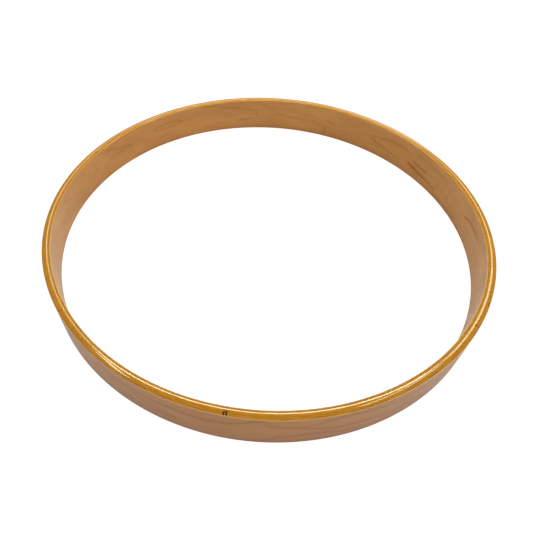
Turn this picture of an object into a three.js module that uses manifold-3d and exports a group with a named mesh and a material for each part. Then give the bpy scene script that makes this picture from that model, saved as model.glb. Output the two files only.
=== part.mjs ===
// Counter hoop of a bass drum: a ring of thin maple plies, each one a strip bent round and butted end to
// end, glued in a stack with the seams spread round the turn, then machined with a crowned top edge.
// Millimetres, +Z up. The origin is the centre of the ring on the plane that it rests on, and -Y is its front.

import * as THREE from 'three';
import { mergeVertices } from 'three/addons/utils/BufferGeometryUtils.js';
import Module from 'manifold-3d';

const wasm = await Module();
wasm.setup();

// The ring. The inside slips over the shell of a 20 inch drum and traps the rim of its head.
const INNER_DIAMETER = 517.6;
const WALL = 9.5;
const HEIGHT = 50.8;

// The stack of plies.
const FACE_PLY = 0.8;
const GLUE_LINE = 0.05;

// The machined edges: a crown across the top, and eased arrises at the top and at the flat bottom.
const CROWN_RADIUS = 14;
const TOP_ARRIS = 1;
const BOTTOM_ARRIS = 0.6;
const ARRIS_STEPS = 3;

// The butt seams. Those of the core lean, so that no seam crosses the next one straight.
const SEAM_GAP = 0.3;
const FACE_SEAM_RUN = 2.5;
const CORE_SEAM_RUN = 14;
const CUT_OVERRUN = 2;

// Straight steps in the turn of every ply, the same for all so that their faces follow each other.
const TURN_STEPS = 120;

// The plies from the inside out. A seam's place is a share of a full turn from the front, anticlockwise
// from above.
const PLIES = [
  { name: 'inner_face_ply', grain: 'round', seamTurnShare: 0.207 },
  { name: 'core_ply_1', grain: 'upright', seamTurnShare: 0.798 },
  { name: 'core_ply_2', grain: 'round', seamTurnShare: 0.310 },
  { name: 'core_ply_3', grain: 'upright', seamTurnShare: 0.683 },
  { name: 'core_ply_4', grain: 'round', seamTurnShare: 0.472 },
  { name: 'core_ply_5', grain: 'round', seamTurnShare: 0.153 },
  { name: 'core_ply_6', grain: 'upright', seamTurnShare: 0.942 },
  { name: 'core_ply_7', grain: 'round', seamTurnShare: 0.060 },
  { name: 'core_ply_8', grain: 'upright', seamTurnShare: 0.988 },
  { name: 'outer_face_ply', grain: 'round', seamTurnShare: 0.408 },
];

const INNER_RADIUS = INNER_DIAMETER / 2;
const HALF_WALL = WALL / 2;
const MIDDLE_RADIUS = INNER_RADIUS + HALF_WALL;
const CORE_COUNT = PLIES.length - 2;
const CORE_PLY = (WALL - 2 * FACE_PLY - (PLIES.length - 1) * GLUE_LINE) / CORE_COUNT;

// Centre of the rounded corner that runs out of the crown into the upright face, from the middle of the
// wall and the summit of the crown.
const cornerOffset = HALF_WALL - TOP_ARRIS;
const cornerDepth = CROWN_RADIUS - Math.sqrt((CROWN_RADIUS - TOP_ARRIS) ** 2 - cornerOffset ** 2);
const crownEndAngle = Math.asin(cornerOffset / (CROWN_RADIUS - TOP_ARRIS));

// How far the top edge lies below its summit, at an offset from the middle of the wall.
function topDrop(offset) {
  const distance = Math.abs(offset);
  if (distance <= CROWN_RADIUS * Math.sin(crownEndAngle)) {
    return CROWN_RADIUS - Math.sqrt(CROWN_RADIUS ** 2 - distance ** 2);
  }
  const across = Math.min(distance - cornerOffset, TOP_ARRIS);
  return cornerDepth - Math.sqrt(TOP_ARRIS ** 2 - across ** 2);
}

// How far the bottom edge lies above the plane that the ring rests on.
function bottomRise(offset) {
  const across = Math.abs(offset) - (HALF_WALL - BOTTOM_ARRIS);
  if (across <= 0) {
    return 0;
  }
  return BOTTOM_ARRIS - Math.sqrt(Math.max(BOTTOM_ARRIS ** 2 - across ** 2, 0));
}

// Offsets at which the rounded corners of an edge have their points, on the outer half of the wall.
function arrisOffsets(radius, startAngle) {
  const offsets = [];
  for (let step = 0; step < ARRIS_STEPS; step += 1) {
    const angle = startAngle + (Math.PI / 2 - startAngle) * (step / ARRIS_STEPS);
    offsets.push(HALF_WALL - radius + radius * Math.sin(angle));
  }
  return offsets;
}

// The points of an edge between two offsets, both ends among them.
function edgePoints(from, to, cornerOffsets, heightAt) {
  const bothSides = cornerOffsets.flatMap((offset) => [-offset, offset]);
  const inside = bothSides.filter((offset) => offset > from && offset < to);
  const offsets = [from, ...inside.sort((a, b) => a - b), to];
  return offsets.map((offset) => new THREE.Vector2(MIDDLE_RADIUS + offset, heightAt(offset)));
}

// Section of a ply between two offsets from the middle of the wall, closed on itself.
function plySection(from, to) {
  const topOffsets = arrisOffsets(TOP_ARRIS, crownEndAngle);
  const bottomOffsets = arrisOffsets(BOTTOM_ARRIS, 0);
  const top = edgePoints(from, to, topOffsets, (offset) => HEIGHT - topDrop(offset));
  const bottom = edgePoints(from, to, bottomOffsets, bottomRise);
  return [...bottom, ...top.reverse(), bottom[0].clone()];
}

function solidFrom(geometry) {
  const bare = geometry.clone();
  bare.deleteAttribute('normal');
  bare.deleteAttribute('uv');
  const merged = mergeVertices(bare);
  const vertProperties = Float32Array.from(merged.attributes.position.array);
  const triVerts = Uint32Array.from(merged.index.array);
  return new wasm.Manifold(new wasm.Mesh({ numProp: 3, vertProperties, triVerts }));
}

function geometryFrom(solid) {
  const mesh = solid.getMesh();
  const geometry = new THREE.BufferGeometry();
  geometry.setAttribute('position', new THREE.BufferAttribute(mesh.vertProperties, 3));
  geometry.setIndex(new THREE.BufferAttribute(mesh.triVerts, 1));
  geometry.computeVertexNormals();
  return geometry;
}

// Full ring of a ply's section, its first step at the front.
function ringGeometry(section) {
  const ring = new THREE.LatheGeometry(section, TURN_STEPS);
  ring.rotateX(Math.PI / 2);
  return ring;
}

// Saw cut that parts the ring at its butt seam. Its run is how far it leans round the ring over the height.
function seamCut(from, to, run, turnShare) {
  const lean = Math.atan2(run, HEIGHT);
  const length = (HEIGHT + 2 * CUT_OVERRUN) / Math.cos(lean);
  const blade = new THREE.BoxGeometry(SEAM_GAP, to - from + 2 * CUT_OVERRUN, length);
  blade.rotateY(lean);
  blade.translate(0, -(MIDDLE_RADIUS + (from + to) / 2), HEIGHT / 2);
  blade.rotateZ(turnShare * 2 * Math.PI);
  return blade;
}

function plyGeometry(from, to, seamRun, seamTurnShare) {
  const ring = solidFrom(ringGeometry(plySection(from, to)));
  const cut = solidFrom(seamCut(from, to, seamRun, seamTurnShare));
  return geometryFrom(ring.subtract(cut));
}

// Clear lacquered maple on the faces. The core shows at the edges, where the lacquer has gone amber.
function faceMaterial() {
  return new THREE.MeshStandardMaterial({ color: 0xb98a5e, roughness: 0.35, metalness: 0 });
}

function roundGrainMaterial() {
  return new THREE.MeshStandardMaterial({ color: 0xd09a3e, roughness: 0.3, metalness: 0 });
}

function uprightGrainMaterial() {
  return new THREE.MeshStandardMaterial({ color: 0xb97f24, roughness: 0.35, metalness: 0 });
}

function plyMaterial(isFace, grain) {
  if (isFace) {
    return faceMaterial();
  }
  return grain === 'round' ? roundGrainMaterial() : uprightGrainMaterial();
}

const hoop = new THREE.Group();
let from = -HALF_WALL;
PLIES.forEach(({ name, grain, seamTurnShare }, index) => {
  const isFace = index === 0 || index === PLIES.length - 1;
  const to = from + (isFace ? FACE_PLY : CORE_PLY);
  const seamRun = isFace ? FACE_SEAM_RUN : CORE_SEAM_RUN;
  const ply = new THREE.Mesh(plyGeometry(from, to, seamRun, seamTurnShare), plyMaterial(isFace, grain));
  ply.name = name;
  hoop.add(ply);
  from = to + GLUE_LINE;
});

export default hoop;
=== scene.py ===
import math

import bmesh
import bpy
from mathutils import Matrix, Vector


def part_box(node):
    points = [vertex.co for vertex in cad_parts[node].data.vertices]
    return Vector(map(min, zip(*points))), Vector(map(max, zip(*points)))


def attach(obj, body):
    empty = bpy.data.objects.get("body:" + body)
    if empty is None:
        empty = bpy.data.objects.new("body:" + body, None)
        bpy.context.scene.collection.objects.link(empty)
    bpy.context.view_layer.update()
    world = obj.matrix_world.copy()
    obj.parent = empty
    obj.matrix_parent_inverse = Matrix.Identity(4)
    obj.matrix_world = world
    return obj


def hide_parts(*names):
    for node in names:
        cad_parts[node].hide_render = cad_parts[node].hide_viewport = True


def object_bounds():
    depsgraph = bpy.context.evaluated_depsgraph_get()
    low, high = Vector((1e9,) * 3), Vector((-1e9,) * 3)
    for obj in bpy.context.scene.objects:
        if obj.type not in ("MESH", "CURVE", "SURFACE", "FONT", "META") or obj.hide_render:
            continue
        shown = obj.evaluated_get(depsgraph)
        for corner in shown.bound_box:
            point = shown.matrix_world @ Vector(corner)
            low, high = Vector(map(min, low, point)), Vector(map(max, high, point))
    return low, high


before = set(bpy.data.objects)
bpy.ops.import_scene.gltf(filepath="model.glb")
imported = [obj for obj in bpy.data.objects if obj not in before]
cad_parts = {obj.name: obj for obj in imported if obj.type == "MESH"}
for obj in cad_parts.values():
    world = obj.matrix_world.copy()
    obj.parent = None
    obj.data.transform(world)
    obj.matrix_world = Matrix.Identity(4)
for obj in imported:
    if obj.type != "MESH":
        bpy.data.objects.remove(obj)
cad_lowest, cad_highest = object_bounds()


# Camera: it stands in front of the hoop and looks down into it, level, with the hoop to the right of the
# middle of the lens, which the shift makes up for. All lengths are in metres unless a name says mm.

CAMERA_PLACE = Vector((0.0, -0.4316, 0.4413))
CAMERA_AIM = Vector((-0.0334, -0.0817, 0.0508))
CAMERA_LENS = 31.06
CAMERA_SENSOR = 36.0
PHOTO_SIDE = 540
LENS_AXIS_PIXEL = (232.5, 255.5)


def look_at(thing, place, aim):
    thing.location = place
    thing.rotation_euler = (aim - place).to_track_quat("-Z", "Y").to_euler()


camera_data = bpy.data.cameras.new("camera")
camera_data.sensor_width = CAMERA_SENSOR
camera_data.lens = CAMERA_LENS
camera_data.shift_x = (PHOTO_SIDE / 2 - LENS_AXIS_PIXEL[0]) / PHOTO_SIDE
camera_data.shift_y = (LENS_AXIS_PIXEL[1] - PHOTO_SIDE / 2) / PHOTO_SIDE
camera = bpy.data.objects.new("camera", camera_data)
look_at(camera, CAMERA_PLACE, CAMERA_AIM)
bpy.context.scene.collection.objects.link(camera)
bpy.context.scene.camera = camera
bpy.context.scene.view_settings.view_transform = "Standard"


# Light: a pale room, bright near the floor and dim overhead. A frame of long lamps hangs level behind and
# beside the hoop, and its reflection is the pair of bright lines round the crowned edge. Four large panels
# stand round the room and light the faces.

WHITE = (1, 1, 1, 1)
BACKDROP_STRENGTH = 1.0
ROOM_LOW_LIGHT = 0.6
ROOM_HIGH_LIGHT = 0.22
ROOM_DIM_FROM = 0.0
ROOM_DIM_TO = 0.35
STRIP_WHITE = (1.0, 0.985, 0.66)
STRIP_HEIGHT = 1.05
STRIPS = (
    # name, place from above, turn in degrees, width, depth, watts
    ("near_strip", (0.03, 0.50), 0.0, 0.95, 0.14, 6.6),
    ("far_strip", (0.0, 1.45), 0.0, 1.2, 0.24, 4.7),
    ("right_near_strip", (0.73, 0.69), -38.0, 0.24, 0.50, 2.4),
    ("right_far_strip", (0.90, 1.18), 4.0, 0.28, 0.58, 2.2),
    ("left_near_strip", (-0.62, 0.72), 42.0, 0.16, 0.60, 1.45),
    ("left_far_strip", (-0.80, 1.2), -4.0, 0.22, 0.55, 1.6),
    ("right_corner", (0.51, 0.20), -28.0, 0.08, 0.45, 0.85),
    ("left_corner", (-0.53, 0.15), 0.0, 0.08, 0.30, 0.8),
)
PANEL_WHITE = (1.0, 0.99, 0.98)
PANEL_AIM = Vector((0, 0, 0.03))
PANELS = (
    # name, place, width, depth, watts
    ("back_panel", Vector((0.0, 3.2, 1.75)), 3.4, 1.2, 9.0),
    ("right_panel", Vector((0.85, 2.3, 1.05)), 0.9, 0.8, 1.5),
    ("front_panel", Vector((-0.1, -2.0, 1.3)), 3.4, 1.6, 21.0),
    ("side_panel", Vector((2.3, -0.9, 1.3)), 1.4, 1.2, 14.3),
)


def add_node(tree, kind, inputs=None, **settings):
    """Adds a node. Each input is given a value or the socket that feeds it."""
    node = tree.nodes.new("ShaderNode" + kind)
    for name, value in settings.items():
        setattr(node, name, value)
    for name, value in (inputs or {}).items():
        if isinstance(value, bpy.types.NodeSocket):
            tree.links.new(value, node.inputs[name])
        else:
            node.inputs[name].default_value = value
    return node


def maths(tree, operation, *terms):
    """A step of arithmetic on numbers and sockets."""
    return add_node(tree, "Math", dict(enumerate(terms)), operation=operation).outputs["Value"]


def smooth_rise(tree, value, low, high):
    """0 below low and 1 above high, with a smooth rise between them."""
    inputs = {"Value": value, "From Min": low, "From Max": high}
    node = add_node(tree, "MapRange", inputs, interpolation_type="SMOOTHSTEP", clamp=True)
    return node.outputs["Result"]


world = bpy.data.worlds.new("pale room")
world.use_nodes = True
bpy.context.scene.world = world
room = world.node_tree
room.nodes.clear()
room_way = add_node(room, "TexCoord").outputs["Generated"]
room_rise = add_node(room, "SeparateXYZ", {"Vector": room_way}).outputs["Z"]
room_height = smooth_rise(room, room_rise, ROOM_DIM_FROM, ROOM_DIM_TO)
room_span = ROOM_HIGH_LIGHT - ROOM_LOW_LIGHT
room_strength = maths(room, "MULTIPLY_ADD", room_height, room_span, ROOM_LOW_LIGHT)
room_light = add_node(room, "Background", {"Color": WHITE, "Strength": room_strength})
room_backdrop = add_node(room, "Background", {"Color": WHITE, "Strength": BACKDROP_STRENGTH})
room_path = add_node(room, "LightPath")
room_mix = add_node(
    room,
    "MixShader",
    {0: room_path.outputs["Is Camera Ray"], 1: room_light.outputs[0], 2: room_backdrop.outputs[0]},
)
add_node(room, "OutputWorld", {"Surface": room_mix.outputs[0]})


def hang_lamp(name, place, aim, turn, width, depth, watts, white):
    lamp = bpy.data.lights.new(name, "AREA")
    lamp.shape = "RECTANGLE"
    lamp.size = width
    lamp.size_y = depth
    lamp.energy = watts
    lamp.color = white
    hung = bpy.data.objects.new(name, lamp)
    look_at(hung, place, aim)
    hung.rotation_euler.rotate_axis("Z", math.radians(turn))
    hung.visible_camera = False
    bpy.context.scene.collection.objects.link(hung)


for name, (across, back), turn, width, depth, watts in STRIPS:
    place = Vector((across, back, STRIP_HEIGHT))
    hang_lamp(name, place, Vector((across, back, 0)), turn, width, depth, watts, STRIP_WHITE)

for name, place, width, depth, watts in PANELS:
    hang_lamp(name, place, PANEL_AIM, 0.0, width, depth, watts, PANEL_WHITE)


# Floor: a plain white table that the hoop lies on. The camera sees it as white with a faint soft shadow of
# the hoop, and reflections see it as pale, with painted shade on it within the hoop. Its glow lights nothing
# by itself.

FLOOR_SIDE = 8.0
FLOOR_WHITE = (0.9, 0.9, 0.9, 1)
FLOOR_GLOW = 1.12
FLOOR_GLOW_SHARE = 0.85
FLOOR_MIRRORED_PAINTED_SHADE = 0.3
FLOOR_MIRRORED_OUTSIDE = 0.48
FLOOR_SHADED_WITHIN = (0.25, 0.32)

bpy.ops.object.select_all(action="DESELECT")
bpy.ops.mesh.primitive_plane_add(size=FLOOR_SIDE, location=(0, 0, cad_lowest[2]))
floor = bpy.context.object
floor.name = "floor"
floor_look = bpy.data.materials.new("white table")
floor_look.use_nodes = True
table = floor_look.node_tree
table.nodes.clear()
table_path = add_node(table, "LightPath")
table_mirrored = maths(
    table, "MAXIMUM", table_path.outputs["Is Glossy Ray"], table_path.outputs["Is Transmission Ray"]
)
table_place = add_node(table, "TexCoord").outputs["Object"]
table_reach = add_node(table, "VectorMath", {0: table_place}, operation="LENGTH").outputs["Value"]
# painted shade: within the hoop, reflections see the table's glow lowered
table_open = smooth_rise(table, table_reach, *FLOOR_SHADED_WITHIN)
table_span = FLOOR_MIRRORED_OUTSIDE - FLOOR_MIRRORED_PAINTED_SHADE
table_bright = maths(table, "MULTIPLY_ADD", table_open, table_span, FLOOR_MIRRORED_PAINTED_SHADE)
table_mirrored = maths(table, "MULTIPLY", table_mirrored, table_bright)
table_seen = maths(table, "MULTIPLY", table_path.outputs["Is Camera Ray"], FLOOR_GLOW_SHARE)
table_share = maths(table, "MAXIMUM", table_seen, table_mirrored)
table_face = add_node(table, "BsdfDiffuse", {"Color": FLOOR_WHITE})
table_glow = add_node(table, "Emission", {"Strength": FLOOR_GLOW})
table_mix = add_node(
    table, "MixShader", {0: table_share, 1: table_face.outputs[0], 2: table_glow.outputs[0]}
)
add_node(table, "OutputMaterial", {"Surface": table_mix.outputs[0]})
floor_look.cycles.emission_sampling = "NONE"
floor.data.materials.append(floor_look)


# Inner face ply: a strip of clear lacquered maple veneer, its grain round the hoop, bent to a ring and
# butted end to end. It is glued inside the core, a little way into the glue line, and its edges are machined
# with the rest of the stack.

WALL = 0.0095
FACE_PLY = 0.0008
GLUE_REACH = 0.000024
CROWN_RADIUS = 0.014
TOP_ARRIS = 0.001
BOTTOM_ARRIS = 0.0006
SEAM_GAP = 0.0003
FACE_SEAM_RUN = 0.0025
BEND_STEPS = 480
FACE_EDGE_CUTS = 8
SIDE_CUTS = 5
SIDE_TOLERANCE_SHARE = 0.001
SMOOTH_ANGLE = math.radians(35)
MM_PER_METRE = 1000
FULL_TURN = 2 * math.pi
FRONT_TURN = -90.0
INNER_SEAM_SHARE = 0.207

hoop_height = cad_highest[2]
hoop_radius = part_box("outer_face_ply")[1][0]
half_wall = WALL / 2
middle_radius = hoop_radius - half_wall
corner_offset = half_wall - TOP_ARRIS
corner_depth = CROWN_RADIUS - math.sqrt((CROWN_RADIUS - TOP_ARRIS) ** 2 - corner_offset**2)
crown_end = CROWN_RADIUS * corner_offset / (CROWN_RADIUS - TOP_ARRIS)


def top_drop(offset):
    """How far the top edge lies below its summit, at an offset from the middle of the wall."""
    distance = abs(offset)
    if distance <= crown_end:
        return CROWN_RADIUS - math.sqrt(CROWN_RADIUS**2 - distance**2)
    across = min(distance - corner_offset, TOP_ARRIS)
    return corner_depth - math.sqrt(TOP_ARRIS**2 - across**2)


def bottom_rise(offset):
    """How far the bottom edge lies above the table, at an offset from the middle of the wall."""
    across = min(abs(offset) - (half_wall - BOTTOM_ARRIS), BOTTOM_ARRIS)
    if across <= 0:
        return 0.0
    return BOTTOM_ARRIS - math.sqrt(BOTTOM_ARRIS**2 - across**2)


def even(share):
    return share


def crowd_outwards(share):
    """Sets points closer together towards the outer end, where an arris turns down."""
    return math.sin(share * math.pi / 2)


def crowd_inwards(share):
    return 1 - crowd_outwards(1 - share)


def cut_edges(ply, chosen, cuts):
    """Subdivides the edges of the open strip whose two ends are both chosen."""
    mesh = bmesh.from_edit_mesh(ply.data)
    bpy.ops.mesh.select_all(action="DESELECT")
    for edge in mesh.edges:
        edge.select = all(chosen(corner.co) for corner in edge.verts)
    mesh.select_flush_mode()
    bpy.ops.mesh.subdivide(number_cuts=cuts)
    return bmesh.from_edit_mesh(ply.data)


def bend_ply(name, outer, thickness, seam_share, seam_run, edge_cuts, spread=even):
    """Stands up the strip's section, shapes its two edges, and bends it round from seam to seam."""
    inner = outer - thickness
    middle_height = hoop_height / 2
    bpy.ops.object.select_all(action="DESELECT")
    bpy.ops.mesh.primitive_plane_add(
        size=1, location=(outer - thickness / 2, 0, middle_height), rotation=(math.pi / 2, 0, 0)
    )
    ply = bpy.context.object
    ply.name = name
    ply.data.name = name
    ply.scale = (thickness, hoop_height, 1)
    bpy.ops.object.transform_apply(location=True, rotation=True, scale=True)
    bpy.ops.object.mode_set(mode="EDIT")
    cut_edges(ply, lambda place: place.z > middle_height, edge_cuts)
    mesh = cut_edges(ply, lambda place: place.z < middle_height, edge_cuts)
    for corner in mesh.verts:
        radius = inner + thickness * spread((corner.co.x - inner) / thickness)
        corner.co.x = radius
        if corner.co.z > middle_height:
            corner.co.z = hoop_height - top_drop(radius - middle_radius)
        else:
            corner.co.z = bottom_rise(radius - middle_radius)
    near = thickness * SIDE_TOLERANCE_SHARE
    for side in (inner, outer):
        mesh = cut_edges(ply, lambda place: abs(place.x - side) < near, SIDE_CUTS)
    gap_turn = SEAM_GAP / middle_radius
    start = math.radians(FRONT_TURN) + seam_share * FULL_TURN + gap_turn / 2
    for corner in mesh.verts:
        radius, height = corner.co.x, corner.co.z
        turn = start + seam_run * (height / hoop_height - 0.5) / middle_radius
        corner.co = (radius * math.cos(turn), radius * math.sin(turn), height)
    bmesh.update_edit_mesh(ply.data)
    bpy.ops.mesh.select_all(action="SELECT")
    bpy.ops.mesh.spin(
        steps=BEND_STEPS, angle=FULL_TURN - gap_turn, center=(0, 0, 0), axis=(0, 0, 1)
    )
    bpy.ops.mesh.select_all(action="SELECT")
    bpy.ops.mesh.normals_make_consistent(inside=False)
    bpy.ops.object.mode_set(mode="OBJECT")
    bpy.ops.object.shade_smooth_by_angle(angle=SMOOTH_ANGLE)
    measure_strip(ply, start, seam_run)
    return ply


def measure_strip(ply, start, seam_run):
    """Notes for each point how far it lies along the strip, up it, and out through the wall, in mm."""
    places = ply.data.attributes.new("strip_mm", "FLOAT_VECTOR", "POINT")
    # a small lead, so that the points at the very start of the strip don't count as its end
    lead = SEAM_GAP / middle_radius / 4
    for corner, place in zip(ply.data.vertices, places.data):
        x, y, height = corner.co
        radius = math.hypot(x, y)
        lean = seam_run * (height / hoop_height - 0.5) / middle_radius
        turn = (math.atan2(y, x) - start - lean + lead) % FULL_TURN
        along = (turn + lean) * middle_radius
        out = radius - middle_radius + half_wall
        place.vector = (along * MM_PER_METRE, height * MM_PER_METRE, out * MM_PER_METRE)


def along_strip(turn_degrees, seam_share):
    """How many mm along a strip, from its seam, a place lies that is given by its turn round the hoop."""
    turn = (turn_degrees - FRONT_TURN - seam_share * 360) % 360
    return math.radians(turn) * middle_radius * MM_PER_METRE


def new_group(name, inputs, outputs):
    """An empty node group. Its socket Strip mm takes a place on a strip, and the others are numbers."""
    group = bpy.data.node_groups.new(name, "ShaderNodeTree")
    for labels, direction in ((inputs, "INPUT"), (outputs, "OUTPUT")):
        for label in labels:
            kind = "NodeSocketVector" if label == "Strip mm" else "NodeSocketFloat"
            group.interface.new_socket(name=label, in_out=direction, socket_type=kind)
    given = group.nodes.new("NodeGroupInput").outputs
    results = group.nodes.new("NodeGroupOutput").inputs
    return group, given, results


def place_group(tree, group, **inputs):
    """Places a node group in a tree. Each input is named with low dashes for its spaces."""
    node = tree.nodes.new("ShaderNodeGroup")
    node.node_tree = group
    for name, value in inputs.items():
        socket = node.inputs[name.replace("_", " ")]
        if isinstance(value, bpy.types.NodeSocket):
            tree.links.new(value, socket)
        else:
            socket.default_value = value
    return node.outputs


def grain_noise(tree, strip, cells, seed, detail=2.0, roughness=0.5):
    """Noise with so many cells in a millimetre along, up and out."""
    scaled = add_node(tree, "VectorMath", {0: strip, 1: cells}, operation="MULTIPLY")
    inputs = {
        "Vector": scaled.outputs["Vector"],
        "W": seed,
        "Scale": 1.0,
        "Detail": detail,
        "Roughness": roughness,
    }
    return add_node(tree, "TexNoise", inputs, noise_dimensions="4D").outputs["Fac"]


# The Mix node's colour sockets have the same names as those for numbers, so their places are given.
MIX_SHARE = 0
MIX_FIRST = 6
MIX_SECOND = 7
MIX_RESULT = 2


def mix_colour(tree, share, first, second):
    inputs = {MIX_SHARE: share, MIX_FIRST: first, MIX_SECOND: second}
    return add_node(tree, "Mix", inputs, data_type="RGBA").outputs[MIX_RESULT]


# Cells of the noises in a veneer's figure, in a millimetre along, up and out.
RING_CELLS = (0.007, 0.035, 0.0)
TONE_CELLS = (0.012, 0.05, 0.0)
FIBRE_CELLS = (0.09, 5.0, 2.0)
FLECK_CELLS = (0.45, 3.2, 1.0)
RING_WANDER = 7.0
RING_SPACING_MM = 30.0
RING_RISE = (0.35, 0.9)
RING_FALL = (0.93, 1.0)
FLECKS_ABOVE = (0.66, 0.76)


def make_maple_figure():
    """The figure of a rotary cut maple veneer: broad growth rings, soft tone, fibres and short flecks."""
    tree, given, results = new_group(
        "maple figure", ("Strip mm", "Seed"), ("Rings", "Tone", "Fibre", "Flecks")
    )
    strip, seed = given["Strip mm"], given["Seed"]
    wander = grain_noise(tree, strip, RING_CELLS, seed, roughness=0.45)
    height = add_node(tree, "SeparateXYZ", {"Vector": strip}).outputs["Y"]
    rings = maths(tree, "DIVIDE", height, RING_SPACING_MM)
    level = maths(tree, "MULTIPLY_ADD", wander, RING_WANDER, rings)
    step = maths(tree, "FRACT", level)
    rise = smooth_rise(tree, step, *RING_RISE)
    fall = maths(tree, "SUBTRACT", 1.0, smooth_rise(tree, step, *RING_FALL))
    tree.links.new(maths(tree, "MULTIPLY", rise, fall), results["Rings"])
    tone = grain_noise(tree, strip, TONE_CELLS, seed, detail=3.0, roughness=0.55)
    tree.links.new(tone, results["Tone"])
    fibre = grain_noise(tree, strip, FIBRE_CELLS, seed, detail=3.0, roughness=0.6)
    tree.links.new(fibre, results["Fibre"])
    flecks = grain_noise(tree, strip, FLECK_CELLS, seed, detail=1.0)
    tree.links.new(smooth_rise(tree, flecks, *FLECKS_ABOVE), results["Flecks"])
    return tree


LINE_WANDER_CELLS = (0.12, 0.3, 0.0)
LINE_WANDER_SEED = 3.0
LINE_WANDER_MM = 2.4
LINE_CORE_SHARE = 0.5
LINE_SOFT_SHARE = 0.75


def make_grain_line():
    """One darker growth line on a face: near a given height, between two places along the strip."""
    tree, given, results = new_group(
        "grain line", ("Strip mm", "Height", "Start", "End", "Width", "Fade"), ("Mask",)
    )
    strip = given["Strip mm"]
    axes = add_node(tree, "SeparateXYZ", {"Vector": strip}).outputs
    wander = grain_noise(tree, strip, LINE_WANDER_CELLS, LINE_WANDER_SEED)
    wander = maths(tree, "SUBTRACT", wander, 0.5)
    lifted = maths(tree, "MULTIPLY_ADD", wander, LINE_WANDER_MM, axes["Y"])
    away = maths(tree, "ABSOLUTE", maths(tree, "SUBTRACT", lifted, given["Height"]))
    away = maths(tree, "DIVIDE", away, given["Width"])
    soft = maths(tree, "MULTIPLY", smooth_rise(tree, away, 1.0, 0.0), LINE_SOFT_SHARE)
    core = smooth_rise(tree, away, LINE_CORE_SHARE, 0.0)
    near = maths(tree, "MULTIPLY_ADD", core, 1 - LINE_SOFT_SHARE, soft)
    after = maths(tree, "SUBTRACT", axes["X"], given["Start"])
    after = smooth_rise(tree, maths(tree, "DIVIDE", after, given["Fade"]), 0.0, 1.0)
    before = maths(tree, "SUBTRACT", given["End"], axes["X"])
    before = smooth_rise(tree, maths(tree, "DIVIDE", before, given["Fade"]), 0.0, 1.0)
    shown = maths(tree, "MULTIPLY", after, before)
    tree.links.new(maths(tree, "MULTIPLY", near, shown), results["Mask"])
    return tree


SPOT_RAGGED_CELLS = (0.3, 0.3, 0.0)
SPOT_RAGGED_SEED = 7.0
SPOT_RAGGED_SHARE = 0.8
SPOT_FADE = (1.0, 0.2)


def make_spot():
    """A soft oval spot on a face, used for grain and for painted shade, with a place along and up the strip
    and two half sizes.
    """
    tree, given, results = new_group(
        "grain spot and painted shade", ("Strip mm", "Along", "Height", "Half Length", "Half Height"), ("Mask",)
    )
    strip = given["Strip mm"]
    axes = add_node(tree, "SeparateXYZ", {"Vector": strip}).outputs
    ragged = grain_noise(tree, strip, SPOT_RAGGED_CELLS, SPOT_RAGGED_SEED)
    ragged = maths(tree, "SUBTRACT", ragged, 0.5)
    across = maths(tree, "SUBTRACT", axes["X"], given["Along"])
    across = maths(tree, "DIVIDE", across, given["Half Length"])
    upright = maths(tree, "SUBTRACT", axes["Y"], given["Height"])
    upright = maths(tree, "DIVIDE", upright, given["Half Height"])
    square = maths(tree, "MULTIPLY_ADD", across, across, maths(tree, "MULTIPLY", upright, upright))
    distance = maths(tree, "SQRT", square)
    distance = maths(tree, "MULTIPLY_ADD", ragged, SPOT_RAGGED_SHARE, distance)
    tree.links.new(smooth_rise(tree, distance, *SPOT_FADE), results["Mask"])
    return tree


maple_figure = make_maple_figure()
grain_line = make_grain_line()
grain_spot_and_shade = make_spot()

LINE_FADE_MM = 6.0


def draw_lines(tree, strip, lines, seam_share):
    """The strongest of a face's grain lines at each place. A line is its darkness, width and points."""
    top_mm = hoop_height * MM_PER_METRE
    marked = None
    for darkness, width, points in lines:
        places = [along_strip(turn, seam_share) for turn, depth in points]
        start, end = places[0], places[-1]
        axes = add_node(tree, "SeparateXYZ", {"Vector": strip}).outputs
        share = maths(tree, "DIVIDE", maths(tree, "SUBTRACT", axes["X"], start), end - start)
        curve = add_node(tree, "FloatCurve", {"Value": share})
        drawn = curve.mapping.curves[0].points
        heights = [1 - depth / top_mm for turn, depth in points]
        drawn[0].location = (0, heights[0])
        drawn[1].location = (1, heights[-1])
        for place, height in list(zip(places, heights))[1:-1]:
            drawn.new((place - start) / (end - start), height)
        curve.mapping.update()
        height = maths(tree, "MULTIPLY", curve.outputs["Value"], top_mm)
        fade = min(LINE_FADE_MM, (end - start) / 3)
        mask = place_group(
            tree, grain_line, Strip_mm=strip, Height=height, Start=start, End=end, Width=width, Fade=fade
        )["Mask"]
        mask = maths(tree, "MULTIPLY", mask, darkness)
        marked = mask if marked is None else maths(tree, "MAXIMUM", marked, mask)
    return marked


def draw_spots_and_shade(tree, strip, spots, seam_share):
    """The strongest of a face's oval spots, some of them grain and some painted shade. A spot is its
    darkness, turn, depth and two half sizes.
    """
    marked = None
    for darkness, turn, depth, half_length, half_height in spots:
        mask = place_group(
            tree,
            grain_spot_and_shade,
            Strip_mm=strip,
            Along=along_strip(turn, seam_share),
            Height=hoop_height * MM_PER_METRE - depth,
            Half_Length=half_length,
            Half_Height=half_height,
        )["Mask"]
        mask = maths(tree, "MULTIPLY", mask, darkness)
        marked = mask if marked is None else maths(tree, "MAXIMUM", marked, mask)
    return marked
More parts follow.
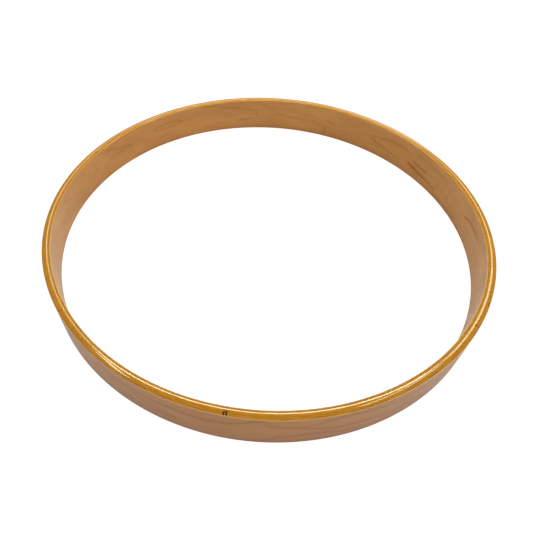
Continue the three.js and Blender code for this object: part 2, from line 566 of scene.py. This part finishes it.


# Maple's colours, how strongly its figure shows in them, and the band of painted shade along the bottom of a
# face.
MAPLE = (0.495, 0.226, 0.069, 1)
MAPLE_DARK = (0.300, 0.112, 0.026, 1)
# the dark of grain lines, rings and flecks, also used for painted shade
MAPLE_LINE_AND_SHADE = (0.290, 0.085, 0.007, 1)
FACE_TONE_RANGE = (0.3, 0.75)
FACE_TONE_SHARE = 0.36
FACE_RINGS_SHARE = 0.16
FACE_FIBRE_RANGE = (0.3, 0.8)
FACE_FIBRE_SHARE = 0.2
FACE_FLECKS_SHARE = 0.32
FACE_SPOTS_AND_SHADE_SHARE = 0.75
FACE_PAINTED_SHADE_BAND_MM = 11.0
FACE_FLECKS_DEPTH = -0.6
FACE_BUMP_STRENGTH = 0.25
FACE_BUMP_HEIGHT = 0.00004

# Lacquer: satin on the faces, and glossy on the machined edges, where it has gone amber.
LACQUER_IOR = 1.5
SPECULAR_TINT = (1.0, 0.96, 0.6, 1)
FACE_SPECULAR = 0.45
FACE_ROUGHNESS = 0.36
FACE_TONE_ROUGHNESS = 0.04
FACE_SHEEN = 0.16
FACE_SHEEN_ROUGHNESS = 0.35
FACE_SHEEN_TINT = (0.90, 0.80, 1.0, 1)
EDGE_SPECULAR = 0.05
EDGE_ROUGHNESS = 0.2
EDGE_COAT = 0.9
COAT_IOR = 1.7
COAT_ROUGHNESS = 0.08
FACE_AMBER_RISE_MM = (-0.1, 0.15)
INNER_EDGE_AMBER = (0.52, 0.235, 0.010, 1)
INNER_AMBER_START_MM = 0.5


def start_look(name, specular):
    """A new material's tree, its Principled shader, and the strip's own places in mm."""
    look = bpy.data.materials.new(name)
    look.use_nodes = True
    tree = look.node_tree
    tree.nodes.clear()
    inputs = {
        "IOR": LACQUER_IOR,
        "Specular IOR Level": specular,
        "Specular Tint": SPECULAR_TINT,
        "Coat IOR": COAT_IOR,
        "Coat Roughness": COAT_ROUGHNESS,
    }
    shader = add_node(tree, "BsdfPrincipled", inputs)
    add_node(tree, "OutputMaterial", {"Surface": shader.outputs["BSDF"]})
    strip = add_node(tree, "Attribute", attribute_name="strip_mm").outputs["Vector"]
    return look, tree, shader, strip


def face_look(name, seed, seam_share, lines, spots, maple, low_painted_shade, amber, amber_start):
    """Maple face veneer under satin lacquer, with its own grain lines, painted shade towards its bottom and
    in some of its spots, and its machined edges amber.
    """
    look, tree, shader, strip = start_look(name, FACE_SPECULAR)
    shader.inputs["Sheen Weight"].default_value = FACE_SHEEN
    shader.inputs["Sheen Roughness"].default_value = FACE_SHEEN_ROUGHNESS
    shader.inputs["Sheen Tint"].default_value = FACE_SHEEN_TINT
    figure = place_group(tree, maple_figure, Strip_mm=strip, Seed=seed)
    tone = smooth_rise(tree, figure["Tone"], *FACE_TONE_RANGE)
    toned = maths(tree, "MULTIPLY", tone, FACE_TONE_SHARE)
    colour = mix_colour(tree, toned, maple, MAPLE_DARK)
    ringed = maths(tree, "MULTIPLY", figure["Rings"], FACE_RINGS_SHARE)
    colour = mix_colour(tree, ringed, colour, MAPLE_LINE_AND_SHADE)
    fibre = smooth_rise(tree, figure["Fibre"], *FACE_FIBRE_RANGE)
    streaked = maths(tree, "MULTIPLY", fibre, FACE_FIBRE_SHARE)
    colour = mix_colour(tree, streaked, colour, MAPLE_DARK)
    flecked = maths(tree, "MULTIPLY", figure["Flecks"], FACE_FLECKS_SHARE)
    colour = mix_colour(tree, flecked, colour, MAPLE_LINE_AND_SHADE)
    drawn = draw_lines(tree, strip, lines, seam_share)
    spotted_and_shaded = draw_spots_and_shade(tree, strip, spots, seam_share)
    # some of the spots are painted shade
    spotted_and_shaded = maths(tree, "MULTIPLY", spotted_and_shaded, FACE_SPOTS_AND_SHADE_SHARE)
    colour = mix_colour(tree, spotted_and_shaded, colour, MAPLE_LINE_AND_SHADE)
    colour = mix_colour(tree, drawn, colour, MAPLE_LINE_AND_SHADE)
    height = add_node(tree, "SeparateXYZ", {"Vector": strip}).outputs["Y"]
    # painted shade: the face darkens towards its bottom, next to the table
    low = maths(tree, "MULTIPLY", smooth_rise(tree, height, FACE_PAINTED_SHADE_BAND_MM, 0.0), low_painted_shade)
    colour = mix_colour(tree, low, colour, MAPLE_LINE_AND_SHADE)
    edge_from = (hoop_height - corner_depth) * MM_PER_METRE - amber_start
    below, above = FACE_AMBER_RISE_MM
    on_edge = smooth_rise(tree, height, edge_from + below, edge_from + above)
    colour = mix_colour(tree, on_edge, colour, amber)
    tree.links.new(colour, shader.inputs["Base Color"])
    roughness = maths(
        tree, "MULTIPLY_ADD", on_edge, EDGE_ROUGHNESS - FACE_ROUGHNESS, FACE_ROUGHNESS
    )
    roughness = maths(tree, "MULTIPLY_ADD", tone, FACE_TONE_ROUGHNESS, roughness)
    tree.links.new(roughness, shader.inputs["Roughness"])
    tree.links.new(maths(tree, "MULTIPLY", on_edge, EDGE_COAT), shader.inputs["Coat Weight"])
    raised = maths(tree, "MULTIPLY_ADD", figure["Flecks"], FACE_FLECKS_DEPTH, fibre)
    relief = {"Strength": FACE_BUMP_STRENGTH, "Distance": FACE_BUMP_HEIGHT, "Height": raised}
    bump = add_node(tree, "Bump", relief)
    tree.links.new(bump.outputs["Normal"], shader.inputs["Normal"])
    return look


INNER_SEED = 2.3
INNER_LOW_PAINTED_SHADE = 0.15
INNER_GRAIN_LINES = (
    # darkness, half width in mm, and for each point its turn in degrees and its depth in mm
    (1.0, 3.8, ((-4.0, 17.6), (3.1, 17.9), (5.5, 20.0), (8.4, 24.7))),
    (0.4, 3.8, ((20.5, 11.6), (30.5, 11.4), (35.5, 9.7))),
    (0.8, 3.3, ((29.0, 27.4), (32.5, 26.5), (36.3, 24.7))),
    (1.05, 3.6, ((28.6, 38.4), (31.5, 36.4), (34.5, 34.2), (38.2, 30.0))),
    (0.75, 3.2, ((23.4, 40.0), (26.0, 38.8), (30.0, 36.8))),
    (0.45, 3.8, ((38.3, 15.0), (46.2, 15.5), (49.0, 18.8), (52.6, 21.3), (53.6, 24.7))),
    (0.4, 3.8, ((40.1, 43.8), (41.9, 36.3), (46.2, 33.0), (51.1, 28.8), (53.6, 24.7))),
    (0.5, 3.6, ((66.5, 25.5), (68.5, 23.6), (71.0, 22.2))),
    (0.3, 3.6, ((70.5, 30.0), (75.0, 28.3), (80.7, 27.6), (85.7, 27.0))),
    (0.35, 3.6, ((85.0, 27.2), (88.5, 21.3), (91.4, 13.0), (93.5, 8.0), (96.4, 4.7))),
    (0.45, 3.4, ((96.0, 18.0), (99.2, 16.0), (102.0, 13.0), (107.0, 10.5), (112.0, 5.5), (116.3, 4.7))),
    (0.5, 3.4, ((96.7, 31.3), (99.6, 33.8), (102.8, 34.3))),
    (0.4, 3.1, ((123.4, 18.8), (126.0, 16.4), (131.0, 16.2), (134.4, 18.8))),
    (0.3, 3.1, ((123.4, 19.6), (126.0, 22.6), (131.0, 22.4), (134.4, 19.6))),
    (0.35, 4.3, ((142.6, 28.0), (147.0, 21.0), (153.0, 11.0), (159.7, 3.0))),
    (0.35, 3.1, ((146.2, 26.0), (151.2, 24.7))),
)
INNER_SPOTS_AND_SHADE = (
    # darkness, turn in degrees, depth in mm, half length and half height in mm
    (0.45, 70.4, 38.0, 5.0, 12.0),
    (0.35, 18.0, 30.0, 4.0, 18.0),
    (0.3, 23.4, 26.0, 4.0, 10.0),
    (0.5, 95.6, 23.5, 3.6, 12.0),
    (0.8, 35.0, 34.5, 13.0, 5.0),
    (0.5, 33.0, 37.5, 12.0, 5.0),
    (0.7, 0.5, 18.0, 13.0, 2.6),
    # painted shade: a long darker band low on the inner face, towards its right side
    (0.3, 20.0, 47.0, 90.0, 8.0),
    (0.7, 123.8, 19.4, 3.0, 3.5),
    (0.6, 134.2, 18.8, 3.0, 3.5),
    (0.6, 171.2, 20.0, 1.5, 1.5),
    (0.35, 152.5, 8.0, 26.0, 9.0),
    # painted shade: the inner face darker all over its right end
    (0.5, -19.0, 25.0, 110.0, 60.0),
)

inner_ply_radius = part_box("inner_face_ply")[1][0]
inner_face = bend_ply(
    "inner_face_strip",
    inner_ply_radius + GLUE_REACH,
    FACE_PLY + GLUE_REACH,
    INNER_SEAM_SHARE,
    FACE_SEAM_RUN,
    FACE_EDGE_CUTS,
    crowd_inwards,
)
inner_face.data.materials.append(
    face_look(
        "inner maple",
        INNER_SEED,
        INNER_SEAM_SHARE,
        INNER_GRAIN_LINES,
        INNER_SPOTS_AND_SHADE,
        MAPLE,
        INNER_LOW_PAINTED_SHADE,
        INNER_EDGE_AMBER,
        INNER_AMBER_START_MM,
    )
)
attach(inner_face, "root")
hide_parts("inner_face_ply")


# Core plies: eight strips of thicker maple, some with the grain upright and some with it round the hoop,
# each bent and butted at its own place. Only their edges show, glossy under lacquer that has gone amber.

CORE_PLY = 0.00093125
CORE_SEAM_RUN = 0.014
CORE_EDGE_CUTS = 6
ROUND_AMBER = (0.585, 0.268, 0.006, 1)
ROUND_AMBER_DARK = (0.42, 0.155, 0.003, 1)
UPRIGHT_AMBER = (0.565, 0.238, 0.005, 1)
UPRIGHT_AMBER_DARK = (0.31, 0.095, 0.002, 1)
CORE_PLIES = (
    # node, grain, share of the turn at which its seam is
    ("core_ply_1", "upright", 0.798),
    ("core_ply_2", "round", 0.310),
    ("core_ply_3", "upright", 0.683),
    ("core_ply_4", "round", 0.472),
    ("core_ply_5", "round", 0.153),
    ("core_ply_6", "upright", 0.942),
    ("core_ply_7", "round", 0.060),
    ("core_ply_8", "upright", 0.988),
)
CORE_SEED_STEP = 1.7
EDGE_MARK_BROWN = (0.025, 0.010, 0.004, 1)
EDGE_MARKS = (
    # darkness, turn in degrees, place out through the wall, half length and half width in mm
    (1.0, -95.14, 7.1, 0.80, 1.7),
    (1.0, -94.60, 7.0, 0.80, 1.6),
    (0.8, -94.87, 5.75, 1.4, 0.45),
    (0.4, -94.6, 4.6, 1.9, 0.9),
    (0.6, -28.2, 8.3, 0.7, 0.6),
    (0.5, -27.6, 7.6, 0.6, 0.6),
    (0.75, -35.1, 5.2, 1.2, 1.1),
    (0.3, 22.3, 2.9, 2.6, 1.5),
    (0.5, 152.4, 1.9, 0.8, 1.3),
    (0.55, 158.6, 2.6, 0.8, 1.4),
    (0.6, -162.6, 1.6, 0.9, 1.3),
    (0.35, 46.2, 3.8, 1.4, 1.0),
    (0.3, -52.0, 8.2, 6.0, 0.8),
    (0.16, -47.6, 5.24, 58.0, 0.5),
    (0.15, -114.0, 8.1, 14.0, 0.6),
    (0.13, -110.5, 6.2, 10.0, 0.5),
)


MARK_RAGGED_CELLS = (1.6, 0.3, 1.6)
MARK_RAGGED_SEED = 4.0
MARK_RAGGED_SHARE = 0.5
MARK_FADE = (1.15, 0.8)


def make_edge_mark():
    """A dark mark on the crowned edge, with a place along the strip and out through the wall."""
    tree, given, results = new_group(
        "edge mark", ("Strip mm", "Along", "Out", "Half Length", "Half Width"), ("Mask",)
    )
    strip = given["Strip mm"]
    axes = add_node(tree, "SeparateXYZ", {"Vector": strip}).outputs
    ragged = grain_noise(tree, strip, MARK_RAGGED_CELLS, MARK_RAGGED_SEED, detail=1.0)
    ragged = maths(tree, "MULTIPLY", maths(tree, "SUBTRACT", ragged, 0.5), MARK_RAGGED_SHARE)
    length = maths(tree, "SUBTRACT", axes["X"], given["Along"])
    length = maths(tree, "ABSOLUTE", maths(tree, "DIVIDE", length, given["Half Length"]))
    width = maths(tree, "SUBTRACT", axes["Z"], given["Out"])
    width = maths(tree, "ABSOLUTE", maths(tree, "DIVIDE", width, given["Half Width"]))
    distance = maths(tree, "ADD", maths(tree, "MAXIMUM", length, width), ragged)
    tree.links.new(smooth_rise(tree, distance, *MARK_FADE), results["Mask"])
    return tree


edge_mark = make_edge_mark()


def draw_marks(tree, strip, seam_share, inner_mm, outer_mm):
    """The darkest of the marks on the crowned edge that cross a ply, which lies between two places."""
    marked = 0.0
    for darkness, turn, out, half_length, half_width in EDGE_MARKS:
        if out + half_width < inner_mm or out - half_width > outer_mm:
            continue
        place = along_strip(turn, seam_share)
        mask = place_group(
            tree,
            edge_mark,
            Strip_mm=strip,
            Along=place,
            Out=out,
            Half_Length=half_length,
            Half_Width=half_width,
        )["Mask"]
        marked = maths(tree, "MAXIMUM", maths(tree, "MULTIPLY", mask, darkness), marked)
    return marked


# Cells of the noises on a core ply's edge, in a millimetre along, up and out.
STREAK_CELLS = (0.06, 2.0, 5.0)
DOT_CELLS = (0.7, 0.15, 0.5)
EDGE_TONE_CELLS = (0.08, 0.0, 0.5)
STREAK_RANGE = (0.3, 0.75)
DOT_RANGE = (0.38, 0.7)
EDGE_TONE_RANGE = (0.3, 0.7)
EDGE_TONE_SHARE = 0.55
EDGE_GRAIN_SHARE = 0.3
EDGE_GRAIN_ROUGHNESS = 0.03
EDGE_BUMP_STRENGTH = 0.04
EDGE_BUMP_HEIGHT = 0.00002


def make_ply_edge():
    """The machined edge of a core ply: streaks where the grain runs round it, dots where it is upright."""
    tree, given, results = new_group("ply edge", ("Strip mm", "Seed", "Upright"), ("Dark", "Raised"))
    strip, seed = given["Strip mm"], given["Seed"]
    streaks = grain_noise(tree, strip, STREAK_CELLS, seed, detail=3.0, roughness=0.6)
    streaks = smooth_rise(tree, streaks, *STREAK_RANGE)
    dots = grain_noise(tree, strip, DOT_CELLS, seed)
    dots = smooth_rise(tree, dots, *DOT_RANGE)
    tone = grain_noise(tree, strip, EDGE_TONE_CELLS, seed, detail=3.0, roughness=0.55)
    tone = smooth_rise(tree, tone, *EDGE_TONE_RANGE)
    span = maths(tree, "SUBTRACT", dots, streaks)
    grain = maths(tree, "MULTIPLY_ADD", span, given["Upright"], streaks)
    grained = maths(tree, "MULTIPLY", grain, EDGE_GRAIN_SHARE)
    dark = maths(tree, "MULTIPLY_ADD", tone, EDGE_TONE_SHARE, grained)
    tree.links.new(dark, results["Dark"])
    tree.links.new(grain, results["Raised"])
    return tree


ply_edge = make_ply_edge()


def core_look(name, seed, upright, light, dark, seam_share, inner_mm):
    """Maple core ply under glossy amber lacquer, with the marks that its machined edge has."""
    look, tree, shader, strip = start_look(name, EDGE_SPECULAR)
    edge = place_group(tree, ply_edge, Strip_mm=strip, Seed=seed, Upright=upright)
    colour = mix_colour(tree, edge["Dark"], light, dark)
    marks = draw_marks(tree, strip, seam_share, inner_mm, inner_mm + CORE_PLY * MM_PER_METRE)
    colour = mix_colour(tree, marks, colour, EDGE_MARK_BROWN)
    tree.links.new(colour, shader.inputs["Base Color"])
    roughness = maths(tree, "MULTIPLY_ADD", edge["Raised"], EDGE_GRAIN_ROUGHNESS, EDGE_ROUGHNESS)
    tree.links.new(roughness, shader.inputs["Roughness"])
    shader.inputs["Coat Weight"].default_value = EDGE_COAT
    relief = {"Strength": EDGE_BUMP_STRENGTH, "Distance": EDGE_BUMP_HEIGHT, "Height": edge["Raised"]}
    bump = add_node(tree, "Bump", relief)
    tree.links.new(bump.outputs["Normal"], shader.inputs["Normal"])
    return look


for number, (node, grain, seam_share) in enumerate(CORE_PLIES, start=1):
    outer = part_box(node)[1][0]
    strip_piece = bend_ply(
        f"core_strip_{number}",
        outer + GLUE_REACH,
        CORE_PLY + 2 * GLUE_REACH,
        seam_share,
        CORE_SEAM_RUN,
        CORE_EDGE_CUTS,
    )
    upright = 1.0 if grain == "upright" else 0.0
    light, dark = (UPRIGHT_AMBER, UPRIGHT_AMBER_DARK) if upright else (ROUND_AMBER, ROUND_AMBER_DARK)
    inner_mm = (outer - CORE_PLY - middle_radius + half_wall) * MM_PER_METRE
    seed = number * CORE_SEED_STEP
    look = core_look(f"{grain} core {number}", seed, upright, light, dark, seam_share, inner_mm)
    strip_piece.data.materials.append(look)
    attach(strip_piece, "root")
    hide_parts(node)


# Outer face ply: the outermost strip of maple veneer, its grain round the hoop, glued over the core and
# butted at the back. The bottom and top edges are machined with the rest.

OUTER_SEAM_SHARE = 0.408
OUTER_MAPLE = (0.412, 0.175, 0.034, 1)
OUTER_EDGE_AMBER = (0.50, 0.240, 0.040, 1)
OUTER_AMBER_START_MM = 0.0
OUTER_SEED = 5.1
OUTER_LOW_PAINTED_SHADE = 0.85
OUTER_GRAIN_LINES = (
    # darkness, half width in mm, and for each point its turn in degrees and its depth in mm
    (0.7, 3.9, (
        (-124.2, 0.5), (-123.6, 8.8), (-121.5, 12.2), (-118.0, 14.3), (-113.0, 14.3), (-108.7, 15.0),
    )),
    (1.0, 4.2, (
        (-110.0, 14.8), (-104.4, 16.3), (-100.1, 17.2), (-95.9, 16.0), (-93.0, 13.8), (-91.2, 8.8),
        (-89.5, 5.0), (-86.5, 2.0),
    )),
    (0.9, 4.7, (
        (-87.8, 10.5), (-84.5, 14.7), (-80.6, 16.7), (-78.8, 19.7), (-76.0, 23.8), (-73.1, 26.3),
        (-70.2, 28.0), (-66.0, 29.3), (-61.7, 30.5), (-50.0, 34.0),
    )),
    (0.7, 4.2, (
        (-81.0, 16.7), (-78.8, 14.3), (-76.0, 12.2), (-74.9, 8.0), (-73.1, 6.0), (-70.2, 5.0),
        (-67.4, 6.7), (-64.5, 10.5), (-60.3, 12.2), (-56.0, 13.8), (-44.0, 17.0),
    )),
    (0.9, 4.4, (
        (-116.0, 21.8), (-114.4, 23.0), (-111.5, 26.3), (-108.7, 29.3), (-105.8, 31.3), (-104.4, 33.8),
    )),
    (0.9, 4.2, ((-119.5, 34.6), (-114.4, 36.3), (-110.1, 35.8), (-106.6, 35.5), (-104.4, 33.8))),
    (0.9, 4.7, (
        (-91.5, 46.8), (-88.0, 44.7), (-85.9, 40.5), (-83.8, 36.3), (-80.9, 35.5), (-78.8, 33.5),
        (-76.0, 34.7), (-73.1, 37.2), (-68.8, 39.7), (-64.5, 41.0), (-50.0, 45.0),
    )),
)
OUTER_SPOTS_AND_SHADE = (
    # darkness, turn in degrees, depth in mm, half length and half height in mm
    # painted shade: a long darker band low on the outer face at the front
    (0.3, -77.0, 45.0, 60.0, 7.0),
    (0.3, -86.0, 9.0, 14.0, 6.0),
)

outer_face = bend_ply(
    "outer_face_strip",
    hoop_radius,
    FACE_PLY + GLUE_REACH,
    OUTER_SEAM_SHARE,
    FACE_SEAM_RUN,
    FACE_EDGE_CUTS,
    crowd_outwards,
)
outer_face.data.materials.append(
    face_look(
        "outer maple",
        OUTER_SEED,
        OUTER_SEAM_SHARE,
        OUTER_GRAIN_LINES,
        OUTER_SPOTS_AND_SHADE,
        OUTER_MAPLE,
        OUTER_LOW_PAINTED_SHADE,
        OUTER_EDGE_AMBER,
        OUTER_AMBER_START_MM,
    )
)
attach(outer_face, "root")
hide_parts("outer_face_ply")
